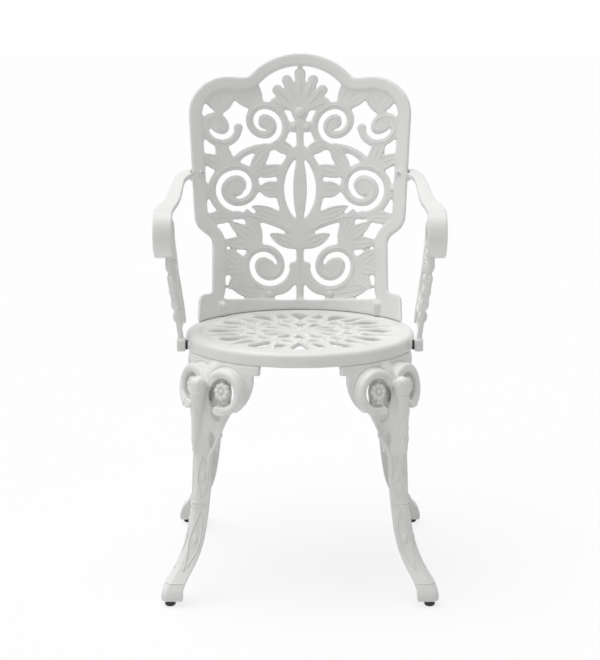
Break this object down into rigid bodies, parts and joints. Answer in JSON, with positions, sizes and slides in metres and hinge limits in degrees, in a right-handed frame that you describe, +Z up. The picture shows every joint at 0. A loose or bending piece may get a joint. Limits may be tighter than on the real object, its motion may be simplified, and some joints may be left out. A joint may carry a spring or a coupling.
{
  "type": "cast aluminium garden armchair",
  "caption": "White cast aluminium garden armchair: round pierced seat, curved scrollwork back, rolled arms and bowed legs on black screw-in glides.",
  "frame": {"origin": "on the floor, under the middle of the chair's overall width and depth, with the glides screwed home", "axes": "+Z up, -Y towards the front of the seat, +X towards the sitter's left hand, the right arm in the front view"},
  "size_m": [0.502, 0.532, 0.9055],
  "materials": {
    "powder_coat": "white satin powder coat on cast aluminium",
    "black_nylon": "black moulded nylon",
    "black_rubber": "black rubber",
    "zinc_steel": "zinc-plated steel"
  },
  "bodies": {
    "chair": {"seat_plate": "powder_coat", "back_panel": "powder_coat", "left_arm": "powder_coat", "right_arm": "powder_coat", "front_left_leg": "powder_coat", "front_left_leg_washers": "zinc_steel", "front_left_leg_bolts": "zinc_steel", "front_right_leg": "powder_coat", "front_right_leg_washers": "zinc_steel", "front_right_leg_bolts": "zinc_steel", "rear_right_leg": "powder_coat", "rear_right_leg_washers": "zinc_steel", "rear_right_leg_bolts": "zinc_steel", "rear_left_leg": "powder_coat", "rear_left_leg_washers": "zinc_steel", "rear_left_leg_bolts": "zinc_steel", "back_washers": "zinc_steel", "back_bolts": "zinc_steel", "right_arm_spacer": "black_rubber", "right_arm_bolt": "zinc_steel", "right_arm_screw": "powder_coat", "left_arm_spacer": "black_rubber", "left_arm_bolt": "zinc_steel", "left_arm_screw": "powder_coat"},
    "front_left_foot": {"front_left_glide": "black_nylon", "front_left_stud": "zinc_steel"},
    "front_right_foot": {"front_right_glide": "black_nylon", "front_right_stud": "zinc_steel"},
    "rear_right_foot": {"rear_right_glide": "black_nylon", "rear_right_stud": "zinc_steel"},
    "rear_left_foot": {"rear_left_glide": "black_nylon", "rear_left_stud": "zinc_steel"}
  },
  "joints": [
    {"name": "front_left_glide_travel", "type": "slide", "parent": "chair", "child": "front_left_foot", "axis": [0, 0, -1], "range_m": [0, 0.008]},
    {"name": "front_right_glide_travel", "type": "slide", "parent": "chair", "child": "front_right_foot", "axis": [0, 0, -1], "range_m": [0, 0.008]},
    {"name": "rear_right_glide_travel", "type": "slide", "parent": "chair", "child": "rear_right_foot", "axis": [0, 0, -1], "range_m": [0, 0.008]},
    {"name": "rear_left_glide_travel", "type": "slide", "parent": "chair", "child": "rear_left_foot", "axis": [0, 0, -1], "range_m": [0, 0.008]}
  ]
}
